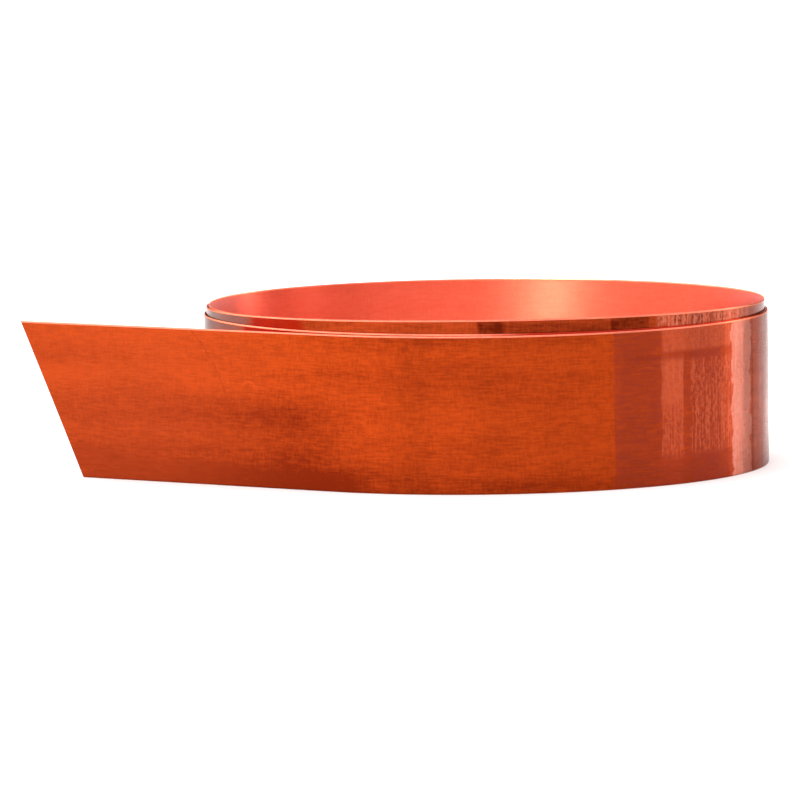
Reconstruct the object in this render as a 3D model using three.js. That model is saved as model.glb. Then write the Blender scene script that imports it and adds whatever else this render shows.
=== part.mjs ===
// A small roll of bare copper foil strip, standing on its lower edge.
//
// It is one continuous strip, with no core, liner or adhesive. Three loose turns are wound round a
// vertical axis and the outer end runs off as a straight tail, cut on a slant. The inner turns are
// pushed up a little, so their rims show one above the other.
//
// Units are millimetres, +Z is up. The model is laid out round the roll's own axis, then moved so
// that its origin is the bottom centre of its box. A place on the strip is given by its angle: 0
// at the front (-Y), growing anticlockwise seen from above and going on past 360 with each turn.

import * as THREE from "three";

// The strip
const STRIP_WIDTH = 20;
const FOIL_THICKNESS = 0.15;
const TURN_SPACING = 0.3; // from one turn's face to the same face of the next
const JOIN_GAP = 0.3; // between the ends of neighbouring sections

// The roll
const OUTER_RADIUS = 37;
const TURNS = 3;
const DEGREES_PER_STEP = 3.75;

// The tail, measured along its lower edge from where it leaves the roll
const TAIL_ANGLE = 33; // between the tail and the X axis
const TAIL_LENGTH = 38.5;
const TAIL_SLANT = 9.6; // how much farther the tail's upper edge reaches
const TAIL_BENDS = [13, 26]; // where the tail folds

// The front of the outer turn unrolls with the tail, in equal sections
const PEEL_DEGREES = 50; // each section
const PEEL_NAMES = ["peel_front", "peel_corner", "peel_right"]; // from the tail onwards

// The inner end, which can be peeled off the inner turn
const INNER_END_DEGREES = 54;

// Height of the strip's lower edge at each quarter of a turn: front, right, back, left, front...
const LIFT_AT_QUARTERS = [0, 0, 0, 0.35, 0.25, 0.15, 0.7, 1.3, 2.0, 1.4, 1.3, 1.5, 1.4];

const START_ANGLE = -TAIL_ANGLE; // where the tail becomes the outer turn
const END_ANGLE = START_ANGLE + 360 * TURNS;

const liftCurve = new THREE.SplineCurve(
  LIFT_AT_QUARTERS.map((height, quarter) => new THREE.Vector2(quarter, height))
);

function liftAt(angle) {
  const share = angle / 90 / (LIFT_AT_QUARTERS.length - 1);
  return Math.max(0, liftCurve.getPoint(THREE.MathUtils.clamp(share, 0, 1)).y);
}

// Plan position on the coiled strip: inset is the depth below the strip's outer face.
function coilPoint(angle, inset) {
  const radius = OUTER_RADIUS - (TURN_SPACING * (angle - START_ANGLE)) / 360 - inset;
  const direction = THREE.MathUtils.degToRad(angle - 90);
  return new THREE.Vector2(radius * Math.cos(direction), radius * Math.sin(direction));
}

// Plan position on the straight tail, a distance along it from where it leaves the roll.
function tailPoint(distance, inset) {
  const direction = THREE.MathUtils.degToRad(180 - TAIL_ANGLE);
  const along = new THREE.Vector2(Math.cos(direction), Math.sin(direction));
  return coilPoint(START_ANGLE, inset).addScaledVector(along, distance);
}

function copper(colour) {
  return new THREE.MeshStandardMaterial({ color: colour, roughness: 0.3, metalness: 1 });
}

function makeMesh(name, outline, colour) {
  const geometry = new THREE.ExtrudeGeometry(new THREE.Shape(outline), {
    depth: STRIP_WIDTH,
    bevelEnabled: false,
  });
  const mesh = new THREE.Mesh(geometry, copper(colour));
  mesh.name = name;
  return mesh;
}

// A stretch of the coil between two angles, raised along its length by liftAt.
function makeTurn(name, fromAngle, toAngle, colour) {
  const endInset = THREE.MathUtils.radToDeg(JOIN_GAP / 2 / OUTER_RADIUS);
  const first = fromAngle + endInset;
  const last = toAngle - endInset;
  const steps = Math.ceil((last - first) / DEGREES_PER_STEP);
  const angles = Array.from({ length: steps + 1 }, (_, i) => first + ((last - first) * i) / steps);
  const outerFace = angles.map((angle) => coilPoint(angle, 0));
  const innerFace = angles.map((angle) => coilPoint(angle, FOIL_THICKNESS)).reverse();
  const mesh = makeMesh(name, [...outerFace, ...innerFace], colour);

  const lifts = [...angles, ...[...angles].reverse()].map(liftAt);
  const outline = [...outerFace, ...innerFace];
  const position = mesh.geometry.attributes.position;
  for (let i = 0; i < position.count; i += 1) {
    const corner = nearestCorner(outline, position.getX(i), position.getY(i));
    position.setZ(i, position.getZ(i) + lifts[corner]);
  }
  return mesh;
}

function nearestCorner(outline, x, y) {
  const distances = outline.map((corner) => Math.hypot(corner.x - x, corner.y - y));
  return distances.indexOf(Math.min(...distances));
}

// A flat stretch of the tail between two distances; slant leans its far end outwards.
function makeTailSection(name, fromDistance, toDistance, colour, slant = 0) {
  const near = fromDistance + JOIN_GAP / 2;
  const far = slant > 0 ? toDistance : toDistance - JOIN_GAP / 2;
  const outline = [
    tailPoint(near, 0),
    tailPoint(near, FOIL_THICKNESS),
    tailPoint(far, FOIL_THICKNESS),
    tailPoint(far, 0),
  ];
  const mesh = makeMesh(name, outline, colour);

  const lean = tailPoint(slant, 0).sub(tailPoint(0, 0));
  const middle = tailPoint((near + far) / 2, 0);
  const along = tailPoint(1, 0).sub(tailPoint(0, 0));
  const position = mesh.geometry.attributes.position;
  for (let i = 0; i < position.count; i += 1) {
    const beyondMiddle = new THREE.Vector2(position.getX(i), position.getY(i)).sub(middle).dot(along);
    if (beyondMiddle > 0) {
      const rise = position.getZ(i) / STRIP_WIDTH;
      position.setXY(i, position.getX(i) + lean.x * rise, position.getY(i) + lean.y * rise);
    }
  }
  return mesh;
}

function makeCoil() {
  const innerEndAngle = END_ANGLE - INNER_END_DEGREES;
  const outerTurnAngle = START_ANGLE + PEEL_DEGREES * PEEL_NAMES.length;
  return [
    makeTurn("outer_turn", outerTurnAngle, START_ANGLE + 360, 0xb8602f),
    makeTurn("middle_turn", START_ANGLE + 360, START_ANGLE + 720, 0xc46a3a),
    makeTurn("inner_turn", START_ANGLE + 720, innerEndAngle, 0xd07850),
    makeTurn("inner_end", innerEndAngle, END_ANGLE, 0xdc8c66),
  ];
}

function makePeel() {
  return PEEL_NAMES.map((name, i) => {
    const fromAngle = START_ANGLE + PEEL_DEGREES * i;
    return makeTurn(name, fromAngle, fromAngle + PEEL_DEGREES, 0xb8602f);
  });
}

function makeTail() {
  const [firstBend, secondBend] = TAIL_BENDS;
  return [
    makeTailSection("tail_root", 0, firstBend, 0xb8602f),
    makeTailSection("tail_middle", firstBend, secondBend, 0xb0562a),
    makeTailSection("tail_tip", secondBend, TAIL_LENGTH, 0xa84e26, TAIL_SLANT),
  ];
}

const roll = new THREE.Group();
roll.add(...makeCoil(), ...makePeel(), ...makeTail());

// Put the bottom centre of the whole roll's box at the origin.
const centre = new THREE.Box3().setFromObject(roll).getCenter(new THREE.Vector3());
roll.position.set(-centre.x, -centre.y, 0);

export default roll;
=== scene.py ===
"""Looks for the copper foil strip roll: one continuous strip, skinned section by section.

Units are metres. The strip is described by one coordinate, the distance along it from where the
tail leaves the roll: negative on the tail, positive on the coil. A place on the coil is also
given by its angle, 0 at the front (-Y), growing anticlockwise seen from above.
"""

import math

import bpy
import numpy as np
from mathutils import Matrix, Vector, noise


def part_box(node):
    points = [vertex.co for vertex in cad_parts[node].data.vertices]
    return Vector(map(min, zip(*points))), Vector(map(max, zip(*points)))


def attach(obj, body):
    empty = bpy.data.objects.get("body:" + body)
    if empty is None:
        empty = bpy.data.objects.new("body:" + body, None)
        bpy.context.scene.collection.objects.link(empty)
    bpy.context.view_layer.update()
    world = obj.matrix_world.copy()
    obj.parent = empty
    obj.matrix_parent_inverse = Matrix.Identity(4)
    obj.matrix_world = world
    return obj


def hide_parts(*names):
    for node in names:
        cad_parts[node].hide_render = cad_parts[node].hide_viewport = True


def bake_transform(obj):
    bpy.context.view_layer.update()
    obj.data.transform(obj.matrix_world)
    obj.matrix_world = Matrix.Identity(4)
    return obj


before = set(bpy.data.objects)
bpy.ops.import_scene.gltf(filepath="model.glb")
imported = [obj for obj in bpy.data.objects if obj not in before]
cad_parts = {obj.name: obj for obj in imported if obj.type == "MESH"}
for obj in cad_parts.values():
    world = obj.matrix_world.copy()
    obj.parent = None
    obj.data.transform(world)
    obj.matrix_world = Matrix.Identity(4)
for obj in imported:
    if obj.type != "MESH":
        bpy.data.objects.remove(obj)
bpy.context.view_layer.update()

# ---------------------------------------------------------------- the strip, as in the CAD model
STRIP_WIDTH = 0.020
FOIL_THICKNESS = 0.00015
TURN_SPACING = 0.0003
OUTER_RADIUS = 0.037
TURNS = 3
TAIL_ANGLE = 33
TAIL_LENGTH = 0.0385
TAIL_SLANT = 0.0096
TAIL_BENDS = (0.013, 0.026)
PEEL_DEGREES = 50
INNER_END_DEGREES = 54
LIFT_AT_QUARTERS = (  # of the strip's lower edge, at the front and then every quarter of a turn
    0, 0, 0, 0.00035,
    0.00025, 0.00015, 0.0007, 0.0013,
    0.0020, 0.0014, 0.0013, 0.0015,
    0.0014,
)

START_ANGLE = -TAIL_ANGLE
END_ANGLE = START_ANGLE + 360 * TURNS
RIGHT_SIDE = 90
RAMP_DEGREES = 90  # how much of a turn climbs when the next turn is lifted

# ---------------------------------------------------------------- the skin's own dimensions
SNUG_AT_RIGHT = 0.0001  # how much closer together the turns lie on the roll's right side
STEP = 0.0005  # along the strip
FACE_ROWS = 14  # up each face
EDGE_ROWS = 6  # round each slit edge
EDGE_HEIGHT = 0.00022  # how far down the face the slit edge's rounding reaches
# Flat foil is never quite flat. Its waves are given per metre, along the strip and up it.
LONG_WAVES = (28, 30)
SHORT_WAVES = (90, 55)
WAVE_HEIGHTS_ON_ROLL = (0.00003, 0.00001)
WAVE_HEIGHTS_ON_TAIL = (0.00015, 0.00003)
FREE_AFTER = 0.012  # the tail's waves are full height this far from the roll

# ---------------------------------------------------------------- marks on the strip, many of them painted reflections and shade, in metres
# Each patch is begin, end, low, high, soft ends, soft sides and, if wanted, how ragged its ends are.
PAINTED_DARK_REFLECTIONS = (  # painted dark reflections: darkness, then the patch
    (0.85, -0.045, 0.000, 0.0074, 0.0114, 0.008, 0.0018, 0.004),
    (0.26, -0.008, 0.001, 0.0030, 0.0085, 0.005, 0.0025, 0.004),
    (0.80, -0.045, 0.004, -0.0020, 0.0026, 0.004, 0.0012),
    (0.90, -0.060, -0.032, -0.0020, 0.0040, 0.006, 0.0012),
    (1.40, -0.060, 0.000, -0.0200, 0.0060, 0.008, 0.0095),
    (0.30, 0.004, 0.040, -0.0020, 0.0016, 0.004, 0.0010),
    (0.70, 0.0385, 0.0560, 0.0160, 0.0167, 0.002, 0.0003, 0.002),
    (0.45, 0.0447, 0.0600, -0.0020, 0.0038, 0.0006, 0.0002),
    (1.10, 0.0646, 0.0652, -0.0040, 0.0240, 0.0002, 0.0020),
    (0.80, 0.0688, 0.0698, -0.0040, 0.0240, 0.0003, 0.0020),
)
TAIL_PATCH = (-0.0600, -0.0150, -0.0040, 0.0240, 0.0150, 0.0020)
# Painted dark reflections on the outer turn, at the roll's right side.
DARK_REFLECTION_PATCHES = (
    (0.0376, 0.0560, -0.0040, 0.0240, 0.0001, 0.0020),
    (0.0500, 0.0586, -0.0040, 0.0240, 0.0002, 0.0020, 0.0012),
)
PALE_REFLECTION_PATCHES = (  # painted pale reflections: least and most paleness, then the patch
    (0.40, 0.75, 0.0447, 0.0484, 0.0100, 0.0160, 0.0001, 0.0010, 0.0003),
    (0.00, 0.65, 0.0447, 0.0484, 0.0038, 0.0100, 0.0001, 0.0010, 0.0003),
    (0.25, 0.60, 0.0447, 0.0586, 0.0170, 0.0240, 0.0001, 0.0003, 0.0004),
    (-0.25, 0.75, 0.0497, 0.0586, 0.0038, 0.0157, 0.0002, 0.0006, 0.0006),
    (0.00, 0.70, 0.0680, 0.0860, -0.0040, 0.0240, 0.0060, 0.0020),
    (0.60, 0.90, 0.0655, 0.0661, 0.0028, 0.0042, 0.0003, 0.0006),
)
# A painted bright reflection: an upright strip on the outer turn, at the roll's right side.
BRIGHT_REFLECTION_PATCH = (0.0586, 0.0642, -0.0040, 0.0240, 0.0001, 0.0020, 0.0010)
# Painted dark reflections on the band of the turns inside.
INNER_PAINTED_DARK_REFLECTIONS = (
    (1.30, 0.4850, 0.4880, 0.0170, 0.0220, 0.0005, 0.0010, 0.0008),
    (0.70, 0.4870, 0.5030, 0.0170, 0.0195, 0.0010, 0.0004, 0.0020),
    (1.05, 0.5024, 0.5082, 0.0170, 0.0220, 0.0001, 0.0010, 0.0003),
    (1.00, 0.5123, 0.5136, 0.0170, 0.0220, 0.0001, 0.0010, 0.0002),
    (1.30, 0.5153, 0.5178, 0.0170, 0.0220, 0.0001, 0.0010, 0.0003),
    (1.00, 0.5191, 0.5202, 0.0170, 0.0220, 0.0001, 0.0010, 0.0002),
    (0.90, 0.5217, 0.5224, 0.0170, 0.0220, 0.0001, 0.0010, 0.0002),
)
# A painted pale reflection on the band of the turns inside.
INNER_PALE_REFLECTION_PATCH = (0.5095, 0.5300, 0.0150, 0.0220, 0.0004, 0.0010)
# Behind the tail, the outer turn's end and the inner turn have painted deep red reflections, with
# painted grey reflections before that.
OUTER_RED_REFLECTION_PATCH = (0.2163, 0.2275, 0.0150, 0.0220, 0.0006, 0.0010, 0.0010)
INNER_RED_REFLECTION_PATCH = (0.4504, 0.4600, 0.0150, 0.0220, 0.0006, 0.0010, 0.0010)
OUTER_GREY_REFLECTION_PATCH = (0.1950, 0.2160, 0.0150, 0.0220, 0.0030, 0.0010)
INNER_GREY_REFLECTION_PATCH = (0.4290, 0.4500, 0.0150, 0.0220, 0.0030, 0.0010)
SHADED_EDGE_PATCH = (0.2560, 0.3200, 0.0150, 0.0220, 0.0040, 0.0010)  # painted shade on the second turn's slit edge, on the right side
CREASE_BUMPS_AND_SHADE = (  # bumps with painted shade along them, a painted highlight where the darkness is negative: darkness, centre along the strip, centre height, radius, width, lowest height
    (0.40, -0.0344, 0.0055, 0.0195, 0.0003, 0.0110),
    (-0.40, -0.0124, 0.0125, 0.0011, 0.0003, 0.0119),
)

LOW_EDGE_SHADE_HEIGHT = 0.0032  # the painted shade along the strip's lower edge ends here

# How many of each kind of mark there are in a metre, along the strip and up it.
SMEARS = (28, 150)
CLOUDS = (80, 600)
WARP = (4200, 1000)
WEFT = (600, 4800)
WRINKLES = (260, 110)
STREAKS = (400, 2600)
SPECKLE = (3000, 1400)
LINES = (2600, 130)
RAGS = (500, 420)  # in the ragged ends of patches
FLOOR_GRAIN = (900, 900)
NOISE_ROUGHNESS = 0.55
BUMP_DEPTH = 0.0001

# ---------------------------------------------------------------- colours of the marks, many of them painted reflections and shade
TAIL_TINT = (0.46, 0.061, 0.016)
# colour of the painted dark reflections
DARK_REFLECTION_TINT = (0.27, 0.032, 0.0155)
# colours of the painted grey and deep red reflections
GREY_REFLECTION_TINT = (0.15, 0.060, 0.050)
OUTER_RED_REFLECTION_TINT = (0.26, 0.010, 0.003)
INNER_RED_REFLECTION_TINT = (0.28, 0.010, 0.002)
# colour of the painted shade on the second turn's edge
SHADED_EDGE_TINT = (0.40, 0.020, 0.010)
# colours of the painted pale and bright reflections
PALE_REFLECTION_TINT = (0.48, 0.086, 0.036)
BRIGHT_REFLECTION_TINT = (0.47, 0.165, 0.122)
INNER_PALE_REFLECTION_TINT = (0.48, 0.12, 0.07)
FLOOR_WHITES = ((0.86, 0.86, 0.86), (0.88, 0.88, 0.88))

# ---------------------------------------------------------------- camera
CAMERA_DISTANCE = 0.9
CAMERA_ELEVATION = 5.65
CAMERA_ROLL = -0.82
CAMERA_LENS = 309.4
SENSOR_WIDTH = 36
CAMERA_SEES = (0.01, 10)  # nearest and farthest
AIM_FROM_AXIS = (-0.0113, 0, 0.00847)

# ---------------------------------------------------------------- light
WORLD_BRIGHTNESS = 0.1
OVERHEAD_STRENGTH = 3.3
OVERHEAD_SPREAD = 100
# The key hangs low over the opening and the fill stands behind the roll, where the inner face shows
# them and the front of the outer face can't. Their places are measured from the roll's middle.
NEAR_PANELS = (  # name, place, aim, size, brightness, spread
    ("key", (-0.036, -0.027, 0.100), (0.008, 0.036, 0.006), (0.024, 0.050), 5.5, 40),
    ("fill", (0.009, 0.098, 0.035), (-0.035, 0.008, 0.008), (0.090, 0.050), 2.5, 180),
)
WALL_DISTANCE = 1.8
WALL_HEIGHT = 1.2
FLOOR_HALF_WIDTH = 3.0
WALLS = (  # from one azimuth to another, and how bright
    (-150, -95, 3.4),
    (-95, -40, 2.5),
    (-40, -22, 1.6),
    (-22, -5, 1.87),
    (-5, 14, 1.30),
    (14, 25, 1.22),
    (25, 38, 1.0),
    (38, 53, 1.08),
    (53, 75, 0.6),
    (75, 87, 1.7),
    (87, 114, 1.0),
    (114, 128, 5.0),
    (134, 138, 0.8),
    (170, 205, 0.8),
)


def roll_axis():
    """Where the roll's axis stands, from the CAD sections at its right and its front."""
    radius_at_right = OUTER_RADIUS - TURN_SPACING * (RIGHT_SIDE - START_ANGLE) / 360
    radius_at_front = OUTER_RADIUS - TURN_SPACING * (0 - START_ANGLE) / 360
    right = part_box("peel_right")[1].x
    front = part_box("peel_front")[0].y
    return np.array([right - radius_at_right, front + radius_at_front])


AXIS = roll_axis()


# ---------------------------------------------------------------- the strip's path
def distance_at(angle):
    return math.radians(angle - START_ANGLE) * OUTER_RADIUS


def angle_at(distance):
    return START_ANGLE + np.degrees(distance / OUTER_RADIUS)


# Each fold has its two bodies, its place along the strip and how far its bend reaches before and
# after it. The second body is also the name of the CAD section beyond the fold.
FOLDS = (
    ("outer_coil", "peel_right", distance_at(START_ANGLE + 3 * PEEL_DEGREES), 0.0055, 0.014),
    ("peel_right", "peel_corner", distance_at(START_ANGLE + 2 * PEEL_DEGREES), 0.015, 0.015),
    ("peel_corner", "peel_front", distance_at(START_ANGLE + PEEL_DEGREES), 0.015, 0.015),
    ("peel_front", "tail_root", 0, 0.0026, 0.0065),
    ("tail_root", "tail_middle", -TAIL_BENDS[0], 0.0062, 0.0062),
    ("tail_middle", "tail_tip", -TAIL_BENDS[1], 0.0062, 0.0062),
)
INNER_END_REACH = (0.0026, 0.010)


def lift_at(angle):
    """Height of the strip's lower edge: a smooth curve through the quarter-turn heights."""
    heights = np.array(LIFT_AT_QUARTERS)
    last = len(heights) - 1
    place = np.clip(angle / 90, 0, last - 1e-6)
    quarter = place.astype(int)
    t = place - quarter
    before, low, high, after = (
        heights[np.clip(quarter + k, 0, last)] for k in (-1, 0, 1, 2)
    )
    leave, arrive = (high - before) / 2, (after - low) / 2
    curve = (2 * low - 2 * high + leave + arrive) * t**3
    curve += (3 * high - 3 * low - 2 * leave - arrive) * t**2
    curve += leave * t + low
    return np.maximum(0, curve)


def path(distance):
    """Plan position of the foil's middle, the direction its outer face looks, and its lift."""
    angle = angle_at(np.maximum(distance, 0))
    radius = OUTER_RADIUS - FOIL_THICKNESS / 2
    radius = radius - TURN_SPACING * (angle - START_ANGLE) / 360
    turns_in = np.maximum(angle - RIGHT_SIDE, 0) / 360
    heading = np.radians(angle - RIGHT_SIDE)
    radius = radius + SNUG_AT_RIGHT * turns_in * np.maximum(0, np.cos(heading)) ** 2
    outwards = np.stack([np.cos(heading), np.sin(heading)], -1)
    backwards = np.stack([outwards[..., 1], -outwards[..., 0]], -1)
    tail = np.maximum(-distance, 0)[..., None]
    place = AXIS + radius[..., None] * outwards + tail * backwards
    return place, outwards, lift_at(angle)


def undulation(distance, height):
    """How far the foil stands proud of its ideal path. The two kinds of wave have their own seeds."""
    free = min(1.0, max(0.0, -distance / FREE_AFTER))
    proud = 0
    kinds = zip((LONG_WAVES, SHORT_WAVES), WAVE_HEIGHTS_ON_ROLL, WAVE_HEIGHTS_ON_TAIL, (4.0, 9.0))
    for (per_length, per_height), on_roll, on_tail, seed in kinds:
        wave = noise.noise(Vector((distance * per_length, height * per_height, seed)))
        proud += (on_roll + (on_tail - on_roll) * free) * wave
    return proud


# ---------------------------------------------------------------- the skin
def cross_section():
    """The foil's outline: (offset towards the outer face, height), anticlockwise, with rounded edges."""
    half = FOIL_THICKNESS / 2
    heights = np.linspace(EDGE_HEIGHT, STRIP_WIDTH - EDGE_HEIGHT, FACE_ROWS)
    turn = np.linspace(0, math.pi, EDGE_ROWS + 2)[1:-1]
    outer = [(half, h) for h in heights]
    top = [
        (half * math.cos(a), STRIP_WIDTH - EDGE_HEIGHT * (1 - math.sin(a))) for a in turn
    ]
    inner = [(-half, h) for h in heights[::-1]]
    bottom = [(-half * math.cos(a), EDGE_HEIGHT * (1 - math.sin(a))) for a in turn]
    return np.array(outer + top + inner + bottom)


SECTION = cross_section()
OUTER_FACE, EDGE, INNER_FACE = 0, 1, 2


def band_of(column):
    """Which material a strip of faces has, from its place round the outline."""
    if column < FACE_ROWS - 1:
        return OUTER_FACE
    if column < FACE_ROWS + EDGE_ROWS:
        return EDGE
    if column < 2 * FACE_ROWS + EDGE_ROWS - 1:
        return INNER_FACE
    return OUTER_FACE


def slanted(distance):
    """Distances along the strip for every outline point; the tail's end leans outwards with height."""
    grid = np.repeat(distance[:, None], len(SECTION), 1)
    beyond = np.clip((-grid - TAIL_BENDS[1]) / (TAIL_LENGTH - TAIL_BENDS[1]), 0, None)
    return grid - beyond * TAIL_SLANT * SECTION[None, :, 1] / STRIP_WIDTH


def skin_points(distance):
    along = slanted(distance)
    place, outwards, lift = path(along)
    waves = np.array(
        [
            [undulation(d, h) for d, h in zip(row, SECTION[:, 1])]
            for row in along
        ]
    )
    offset = SECTION[None, :, 0] + waves
    plan = place + offset[..., None] * outwards
    height = lift + SECTION[None, :, 1]
    return np.concatenate([plan, height[..., None]], -1), along


def skin_normals(points):
    """The way each outline point faces. The first and last outlines only help the others."""
    round_way = np.roll(points, -1, 1) - np.roll(points, 1, 1)
    long_way = points[2:] - points[:-2]
    normals = np.cross(long_way, round_way[1:-1])
    return normals / np.linalg.norm(normals, axis=-1, keepdims=True)


def skin_faces(points, normals, uv):
    """The faces of a closed stretch, with each face's band and each corner's normal and UV."""
    rows, columns = points.shape[:2]
    faces, bands, corner_normals, corner_uvs = [], [], [], []
    for row in range(rows - 1):
        for column in range(columns):
            after = (column + 1) % columns
            corners = ((row, column), (row + 1, column), (row + 1, after), (row, after))
            faces.append([r * columns + c for r, c in corners])
            bands.append(band_of(column))
            corner_normals += [normals[r, c] for r, c in corners]
            corner_uvs += [uv[r, c] for r, c in corners]
    for row, way in ((0, 1), (rows - 1, -1)):
        ring = list(range(columns))[::way]
        faces.append([row * columns + c for c in ring])
        bands.append(EDGE)
        cap_normal = points[row, 0] - points[row + way, 0]
        cap_normal /= np.linalg.norm(cap_normal)
        corner_normals += [cap_normal] * columns
        corner_uvs += [uv[row, c] for c in ring]
    return faces, bands, np.array(corner_normals, float), np.array(corner_uvs, float)


def make_skin(name, begin, end, materials):
    """A closed stretch of foil between two distances, smooth right up to its neighbours."""
    steps = max(2, math.ceil((end - begin) / STEP))
    pace = (end - begin) / steps
    distance = begin + pace * np.arange(-1, steps + 2)
    points, along = skin_points(distance)
    normals = skin_normals(points)
    points, along = points[1:-1], along[1:-1]
    uv = np.stack([along, np.broadcast_to(SECTION[:, 1], along.shape)], -1)
    faces, bands, corner_normals, corner_uvs = skin_faces(points, normals, uv)

    mesh = bpy.data.meshes.new(name)
    mesh.from_pydata(points.reshape(-1, 3).tolist(), [], faces)
    for material in materials:
        mesh.materials.append(material)
    mesh.polygons.foreach_set("material_index", bands)
    mesh.polygons.foreach_set("use_smooth", [True] * len(faces))
    layer = mesh.uv_layers.new(name="UVMap")
    layer.data.foreach_set("uv", corner_uvs.ravel())
    mesh.normals_split_custom_set(corner_normals.tolist())
    mesh.validate()
    piece = bpy.data.objects.new(name, mesh)
    bpy.context.scene.collection.objects.link(piece)
    return piece


def middle_point(distance):
    """The foil's middle at one distance, on the floor."""
    place, _, _ = path(np.array([distance]))
    return (place[0, 0], place[0, 1], 0)


# ---------------------------------------------------------------- materials
class Nodes:
    """A short way to write a material's node tree."""

    def __init__(self, name):
        self.material = bpy.data.materials.new(name)
        self.material.use_nodes = True
        self.tree = self.material.node_tree
        self.shader = self.tree.nodes["Principled BSDF"]

    def add(self, kind, **settings):
        node = self.tree.nodes.new(kind)
        for key, value in settings.items():
            setattr(node, key, value)
        return node

    def link(self, output, socket):
        self.tree.links.new(output, socket)

    def strip_coordinates(self, per_length, per_height, seed):
        uv = self.add("ShaderNodeUVMap", uv_map="UVMap")
        mapping = self.add("ShaderNodeMapping")
        mapping.inputs["Scale"].default_value = (per_length, per_height, 1)
        mapping.inputs["Location"].default_value = (seed, seed * 0.7, seed)
        self.link(uv.outputs["UV"], mapping.inputs["Vector"])
        return mapping.outputs["Vector"]

    def noise(self, per_length, per_height, seed, detail=4):
        texture = self.add("ShaderNodeTexNoise")
        texture.inputs["Scale"].default_value = 1
        texture.inputs["Detail"].default_value = detail
        texture.inputs["Roughness"].default_value = NOISE_ROUGHNESS
        self.link(self.strip_coordinates(per_length, per_height, seed), texture.inputs["Vector"])
        return texture.outputs["Fac"]

    def on_strip(self, axis):
        """Distance along the strip (X) or height above its lower edge (Y), in metres."""
        uv = self.add("ShaderNodeUVMap", uv_map="UVMap")
        parts = self.add("ShaderNodeSeparateXYZ")
        self.link(uv.outputs["UV"], parts.inputs["Vector"])
        return parts.outputs[axis]

    def patch(self, begin, end, low, high, soft_ends, soft_sides, ragged=0.0):
        """1 inside a stretch of the strip, fading to 0 round it; its ends may be ragged."""
        result = None
        length = self.on_strip("X")
        if ragged:
            wander = self.spread(self.noise(*RAGS, 17.0, detail=5), 0.2, 0.8, -ragged, ragged)
            length = self.add_values(length, wander)
        sides = ((length, begin, end, soft_ends), (self.on_strip("Y"), low, high, soft_sides))
        for place, first, last, soft in sides:
            for near, far in ((first - soft, first + soft), (last + soft, last - soft)):
                edge = self.spread(place, near, far, smooth=True)
                result = self.times(result, edge) if result else edge
        return result

    def arc(self, centre_u, centre_v, radius, width, lowest):
        """1 on an arc drawn on the strip, fading to 0 on both sides of its line."""
        uv = self.add("ShaderNodeUVMap", uv_map="UVMap")
        gap = self.add("ShaderNodeVectorMath", operation="DISTANCE")
        self.link(uv.outputs["UV"], gap.inputs[0])
        gap.inputs[1].default_value = (centre_u, centre_v, 0)
        rise = self.spread(gap.outputs["Value"], radius - width, radius, smooth=True)
        fall = self.spread(gap.outputs["Value"], radius + width, radius, smooth=True)
        above = self.spread(self.on_strip("Y"), lowest, lowest + 6 * width, smooth=True)
        return self.times(self.times(rise, fall), above)

    def times(self, first, second):
        node = self.add("ShaderNodeMath", operation="MULTIPLY")
        self.link(first, node.inputs[0])
        self.link(second, node.inputs[1])
        return node.outputs[0]

    def spread(self, value, low, high, to_low=0.0, to_high=1.0, smooth=False):
        node = self.add("ShaderNodeMapRange", interpolation_type="SMOOTHSTEP" if smooth else "LINEAR")
        node.inputs["From Min"].default_value = low
        node.inputs["From Max"].default_value = high
        node.inputs["To Min"].default_value = to_low
        node.inputs["To Max"].default_value = to_high
        self.link(value, node.inputs["Value"])
        return node.outputs["Result"]

    def mix(self, amount, first, second):
        node = self.add("ShaderNodeMix", data_type="RGBA")
        self.link(amount, node.inputs[0])
        for socket, colour in ((node.inputs[6], first), (node.inputs[7], second)):
            if isinstance(colour, tuple):
                socket.default_value = (*colour, 1)
            else:
                self.link(colour, socket)
        return node.outputs[2]

    def add_values(self, first, second, weight=1.0):
        node = self.add("ShaderNodeMath", operation="MULTIPLY_ADD")
        self.link(second, node.inputs[0])
        node.inputs[1].default_value = weight
        self.link(first, node.inputs[2])
        return node.outputs[0]

    def bump(self, height, strength):
        node = self.add("ShaderNodeBump")
        node.inputs["Strength"].default_value = strength
        node.inputs["Distance"].default_value = BUMP_DEPTH
        self.link(height, node.inputs["Height"])
        self.link(node.outputs["Normal"], self.shader.inputs["Normal"])


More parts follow.
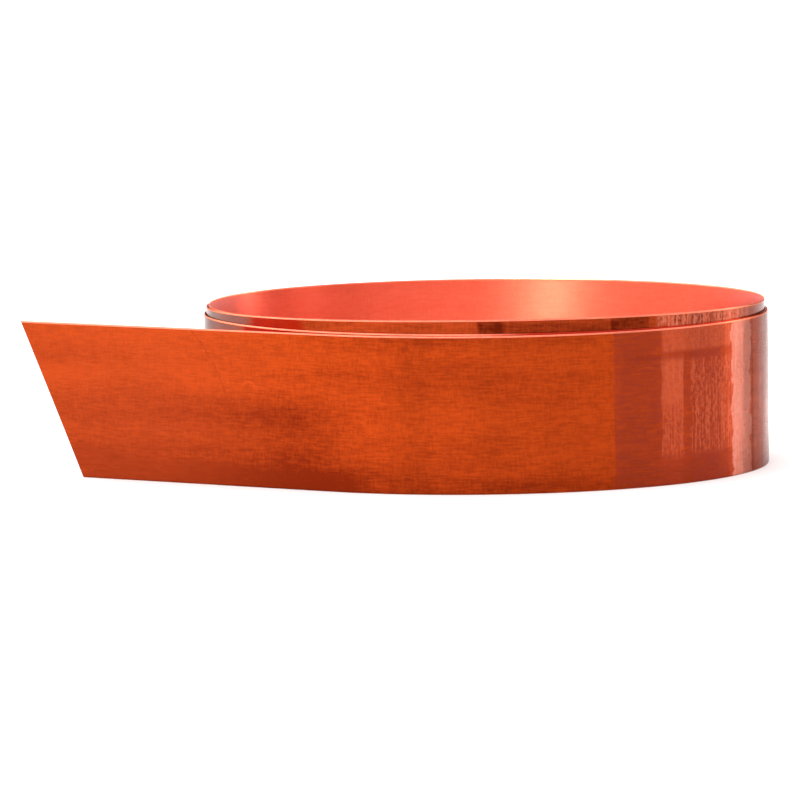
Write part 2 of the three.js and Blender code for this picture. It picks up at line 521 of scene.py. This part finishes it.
def copper(name, clean, stained, grazing, rough, anisotropy, seed, painted_dark_reflections=(), crease_bumps_and_shade=()):
    """Rolled copper foil: soft smears along the strip, painted shade along the lower edge, painted dark
    reflections in listed patches and a fine woven grain.

    It goes from the clean colour to the stained one, with grazing as its tint at a low angle, and
    from the first roughness to the second."""
    nodes = Nodes(name)
    shader = nodes.shader
    shader.inputs["Metallic"].default_value = 1
    shader.inputs["Specular Tint"].default_value = (*grazing, 1)
    shader.inputs["Anisotropic"].default_value = anisotropy
    shader.inputs["Anisotropic Rotation"].default_value = 0.25
    tangent = nodes.add("ShaderNodeTangent", direction_type="UV_MAP", uv_map="UVMap")
    nodes.link(tangent.outputs["Tangent"], shader.inputs["Tangent"])

    smears = nodes.spread(nodes.noise(*SMEARS, seed + 3.1, detail=3), 0.45, 0.8)
    clouds = nodes.spread(nodes.noise(*CLOUDS, seed + 5.7), 0.35, 0.75)
    warp = nodes.noise(*WARP, seed + 8.4, detail=2)
    weft = nodes.noise(*WEFT, seed + 9.6, detail=2)
    weave = nodes.spread(nodes.add_values(weft, warp, 0.7), 0.65, 1.05, -0.5, 0.5)
    # painted shade: the colour darkens towards the strip's lower edge
    low_edge_shade = nodes.spread(nodes.on_strip("Y"), 0.0, LOW_EDGE_SHADE_HEIGHT, 1, 0)
    stain_and_shade = nodes.add_values(smears, clouds, 0.3)
    stain_and_shade = nodes.add_values(stain_and_shade, low_edge_shade, 0.3)
    stain_and_shade = nodes.add_values(stain_and_shade, weave, 0.95)
    # painted dark reflections in the listed patches
    for strength, *patch in painted_dark_reflections:
        stain_and_shade = nodes.add_values(stain_and_shade, nodes.patch(*patch), strength)
    # each crease paints shade on the colour, a highlight where its darkness is negative, and adds a bump
    arcs = [(strength, nodes.arc(*arc)) for strength, *arc in crease_bumps_and_shade]
    for strength, arc in arcs:
        stain_and_shade = nodes.add_values(stain_and_shade, arc, strength)
    colour = nodes.mix(nodes.spread(stain_and_shade, -0.3, 1.8), clean, stained)
    nodes.link(colour, shader.inputs["Base Color"])
    nodes.link(nodes.spread(clouds, 0, 1, *rough), shader.inputs["Roughness"])
    wrinkles = nodes.noise(*WRINKLES, seed + 11.3, detail=1.5)
    relief = nodes.add_values(wrinkles, weave, 0.01)
    for strength, arc in arcs:
        relief = nodes.add_values(relief, arc, strength)
    return nodes, colour, relief


def tone_and_painted_light(nodes, colour, patch, tint, least, most):
    """Shifts a stretch of the strip part of the way to another colour, unevenly along it: the tail's
    tone, and painted reflections and shade elsewhere.
    """
    streaks = nodes.noise(*STREAKS, 23.0, detail=3)
    amount = nodes.times(nodes.patch(*patch), nodes.spread(streaks, 0.3, 0.7, least, most))
    return nodes.mix(amount, colour, tint)


def paint_pale_reflection(nodes, colour, patch, pale, low, high):
    """Paints a pale reflection on a stretch of the strip, in fine speckles and lines across it."""
    speckle = nodes.noise(*SPECKLE, 21.0, detail=3)
    lines = nodes.noise(*LINES, 22.0, detail=3)
    broken = nodes.spread(nodes.add_values(speckle, lines), 0.85, 1.15, low, high)
    amount = nodes.times(nodes.patch(*patch), broken)
    return nodes.mix(amount, colour, pale)


def outer_copper():
    """The outer turn's outer face, tarnished, with painted dark and pale reflections on the roll's right
    side and painted grey and red reflections behind the tail.
    """
    nodes, colour, relief = copper(
        "copper_outer_face",
        clean=(0.44, 0.050, 0.0065),
        stained=(0.18, 0.0150, 0.0028),
        grazing=(0.66, 0.60, 0.58),
        rough=(0.25, 0.29),
        anisotropy=1.0,
        seed=0.0,
        painted_dark_reflections=PAINTED_DARK_REFLECTIONS,
        crease_bumps_and_shade=CREASE_BUMPS_AND_SHADE,
    )
    colour = tone_and_painted_light(nodes, colour, TAIL_PATCH, TAIL_TINT, 0.25, 0.45)
    # painted grey and deep red reflections behind the tail
    colour = tone_and_painted_light(nodes, colour, OUTER_GREY_REFLECTION_PATCH, GREY_REFLECTION_TINT, 0.7, 0.9)
    colour = tone_and_painted_light(nodes, colour, OUTER_RED_REFLECTION_PATCH, OUTER_RED_REFLECTION_TINT, 1, 1)
    # painted dark reflections
    for patch in DARK_REFLECTION_PATCHES:
        colour = tone_and_painted_light(nodes, colour, patch, DARK_REFLECTION_TINT, 0.25, 0.90)
    # painted pale reflections
    for least, most, *patch in PALE_REFLECTION_PATCHES:
        colour = paint_pale_reflection(nodes, colour, patch, PALE_REFLECTION_TINT, least, most)
    # a painted bright reflection
    colour = paint_pale_reflection(nodes, colour, BRIGHT_REFLECTION_PATCH, BRIGHT_REFLECTION_TINT, 0.55, 0.95)
    nodes.link(colour, nodes.shader.inputs["Base Color"])
    nodes.bump(relief, 0.8)
    return nodes.material


def inner_turn_copper():
    """The outer face of the turns inside, seen as a band above the outer turn; its colours are the outer
    turn's made darker, as painted shade, and carry painted reflections.
    """
    nodes, colour, relief = copper(
        "copper_inner_turns",
        clean=(0.38, 0.044, 0.0090),
        stained=(0.11, 0.0085, 0.0020),
        grazing=(0.75, 0.70, 0.68),
        rough=(0.20, 0.24),
        anisotropy=1.0,
        seed=80.0,
        painted_dark_reflections=INNER_PAINTED_DARK_REFLECTIONS,
    )
    # painted grey and deep red reflections
    colour = tone_and_painted_light(nodes, colour, INNER_GREY_REFLECTION_PATCH, GREY_REFLECTION_TINT, 0.7, 0.9)
    colour = tone_and_painted_light(nodes, colour, INNER_RED_REFLECTION_PATCH, INNER_RED_REFLECTION_TINT, 0.9, 1)
    # a painted pale reflection
    colour = paint_pale_reflection(nodes, colour, INNER_PALE_REFLECTION_PATCH, INNER_PALE_REFLECTION_TINT, 0.0, 1.0)
    nodes.link(colour, nodes.shader.inputs["Base Color"])
    nodes.bump(relief, 0.3)
    return nodes.material


def inner_copper():
    """The strip's inner face, pinker and duller than the outer one."""
    nodes, _, relief = copper(
        "copper_inner_face",
        clean=(0.70, 0.120, 0.066),
        stained=(0.60, 0.074, 0.037),
        grazing=(1, 1, 1),
        rough=(0.34, 0.38),
        anisotropy=0.9,
        seed=40.0,
    )
    nodes.bump(relief, 0.2)
    return nodes.material


def edge_copper():
    """The slit edges, bright where the metal was freshly cut."""
    nodes, colour, relief = copper(
        "copper_slit_edge",
        clean=(0.88, 0.22, 0.13),
        stained=(0.72, 0.11, 0.06),
        grazing=(0.85, 0.60, 0.50),
        rough=(0.26, 0.34),
        anisotropy=0.0,
        seed=60.0,
    )
    # painted shade on the second turn's edge, on the roll's right side
    colour = tone_and_painted_light(nodes, colour, SHADED_EDGE_PATCH, SHADED_EDGE_TINT, 1, 1)
    nodes.link(colour, nodes.shader.inputs["Base Color"])
    nodes.bump(relief, 0.1)
    return nodes.material


def floor_material():
    nodes = Nodes("floor")
    grain = nodes.noise(*FLOOR_GRAIN, 2.0)
    colour = nodes.mix(nodes.spread(grain, 0.3, 0.7), *FLOOR_WHITES)
    nodes.link(colour, nodes.shader.inputs["Base Color"])
    nodes.shader.inputs["Roughness"].default_value = 0.9
    return nodes.material


# ---------------------------------------------------------------- the roll
def make_roll():
    shared = [edge_copper(), inner_copper()]
    outer, inside = outer_copper(), inner_turn_copper()

    def make(name, begin, end, replaced=None):
        outside = outer if begin < distance_at(START_ANGLE + 360) else inside
        piece = make_skin(name, begin, end, [outside, *shared])
        if replaced:
            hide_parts(replaced)
        return piece

    def bend(name, begin, end, start, finish, replaced=None):
        piece = make(name, begin, end, replaced)
        middle_point(start)
        middle_point(finish)
        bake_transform(piece)

    # The peeled sections and the tail, from the coil outwards. A section reaches from the middle of
    # one stiff stretch to the middle of the next, with its fold line between them.
    starts = [place + before for _, _, place, before, _ in FOLDS]
    finishes = [place - after for _, _, place, _, after in FOLDS]
    cuts = [(finish + start) / 2 for finish, start in zip(finishes, starts[1:])]
    cuts = [starts[0], *cuts, -TAIL_LENGTH]
    for i, (parent, child, _, _, _) in enumerate(FOLDS):
        bend("foil_" + child, cuts[i + 1], cuts[i], starts[i], finishes[i], child)

    # The rest of the coil, with a bent ramp from each turn to the next where the turns telescope.
    middle_start = distance_at(START_ANGLE + 360)
    middle_top = distance_at(START_ANGLE + 360 + RAMP_DEGREES)
    inner_start = distance_at(START_ANGLE + 720)
    inner_top = distance_at(START_ANGLE + 720 + RAMP_DEGREES)
    end_fold = distance_at(END_ANGLE - INNER_END_DEGREES)
    before, after = INNER_END_REACH
    end_start = end_fold - before
    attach(make("foil_outer_turn", cuts[0], middle_start, "outer_turn"), "outer_coil")
    bend(
        "foil_middle_ramp", middle_start, middle_top,
        middle_start, middle_top,
    )
    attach(make("foil_middle_turn", middle_top, inner_start, "middle_turn"), "middle_coil")
    bend(
        "foil_inner_ramp", inner_start, inner_top,
        inner_start, inner_top,
    )
    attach(make("foil_inner_turn", inner_top, end_start, "inner_turn"), "inner_coil")
    bend(
        "foil_inner_end", end_start, distance_at(END_ANGLE),
        end_start, end_fold + after, "inner_end",
    )


# ---------------------------------------------------------------- the stage
def make_floor():
    far = FLOOR_HALF_WIDTH
    mesh = bpy.data.meshes.new("floor")
    corners = [(-far, -far, 0), (far, -far, 0), (far, far, 0), (-far, far, 0)]
    mesh.from_pydata(corners, [], [(0, 1, 2, 3)])
    layer = mesh.uv_layers.new(name="UVMap")
    layer.data.foreach_set("uv", [v for x, y, _ in corners for v in (x, y)])
    mesh.materials.append(floor_material())
    floor = bpy.data.objects.new("floor", mesh)
    bpy.context.scene.collection.objects.link(floor)


def make_panel(name, place, aim, size, brightness, spread=180):
    """A soft light panel. Its place and aim are measured from the roll's middle, and its brightness
    is what a mirror would show, where 1 is white."""
    light = bpy.data.lights.new(name, "AREA")
    light.shape = "RECTANGLE"
    light.size, light.size_y = size
    light.energy = brightness * math.pi * size[0] * size[1]
    light.spread = math.radians(spread)
    lamp = bpy.data.objects.new(name, light)
    lamp.location = Vector((AXIS[0], AXIS[1], STRIP_WIDTH / 2)) + Vector(place)
    lamp.rotation_euler = (Vector(place) - Vector(aim)).to_track_quat("Z", "Y").to_euler()
    lamp.visible_camera = False
    bpy.context.scene.collection.objects.link(lamp)


def make_wall(name, begin, end, brightness):
    """A panel from the floor up that fills the azimuths from begin to end: 0 is on the camera's
    side, 90 to its right."""
    width = 2 * WALL_DISTANCE * math.tan(math.radians(end - begin) / 2)
    middle = math.radians((begin + end) / 2)
    away = math.sqrt(WALL_DISTANCE**2 - (WALL_HEIGHT / 2) ** 2)
    place = (math.sin(middle) * away, -math.cos(middle) * away, WALL_HEIGHT / 2)
    make_panel(name, place, (0, 0, 0), (width, WALL_HEIGHT), brightness)


def make_overhead():
    """A wide soft light from straight above, so even that the floor has no bright spot."""
    light = bpy.data.lights.new("overhead", "SUN")
    light.angle = math.radians(OVERHEAD_SPREAD)
    light.energy = OVERHEAD_STRENGTH
    lamp = bpy.data.objects.new("overhead", light)
    lamp.location = (0, 0, 1)
    bpy.context.scene.collection.objects.link(lamp)


def make_light():
    world = bpy.data.worlds.new("studio")
    world.use_nodes = True
    background = world.node_tree.nodes["Background"]
    background.inputs["Color"].default_value = (1, 1, 1, 1)
    background.inputs["Strength"].default_value = WORLD_BRIGHTNESS
    bpy.context.scene.world = world
    make_overhead()
    for panel in NEAR_PANELS:
        make_panel(*panel)
    for begin, end, brightness in WALLS:
        make_wall(f"wall_{begin}", begin, end, brightness)
    bpy.context.scene.view_settings.view_transform = "Standard"


def make_camera():
    camera = bpy.data.cameras.new("camera")
    camera.sensor_width = SENSOR_WIDTH
    camera.lens = CAMERA_LENS
    camera.clip_start, camera.clip_end = CAMERA_SEES
    elevation, roll = math.radians(CAMERA_ELEVATION), math.radians(CAMERA_ROLL)
    back = Vector((0, -math.cos(elevation), math.sin(elevation)))
    level, upright = Vector((1, 0, 0)), Vector((0, math.sin(elevation), math.cos(elevation)))
    right = math.cos(roll) * level + math.sin(roll) * upright
    up = math.cos(roll) * upright - math.sin(roll) * level
    aim = Vector((AXIS[0], AXIS[1], 0)) + Vector(AIM_FROM_AXIS)
    holder = bpy.data.objects.new("camera", camera)
    place = Matrix((right, up, back)).transposed().to_4x4()
    place.translation = aim + back * CAMERA_DISTANCE
    holder.matrix_world = place
    bpy.context.scene.collection.objects.link(holder)
    bpy.context.scene.camera = holder


make_camera()
make_roll()
make_floor()
make_light()
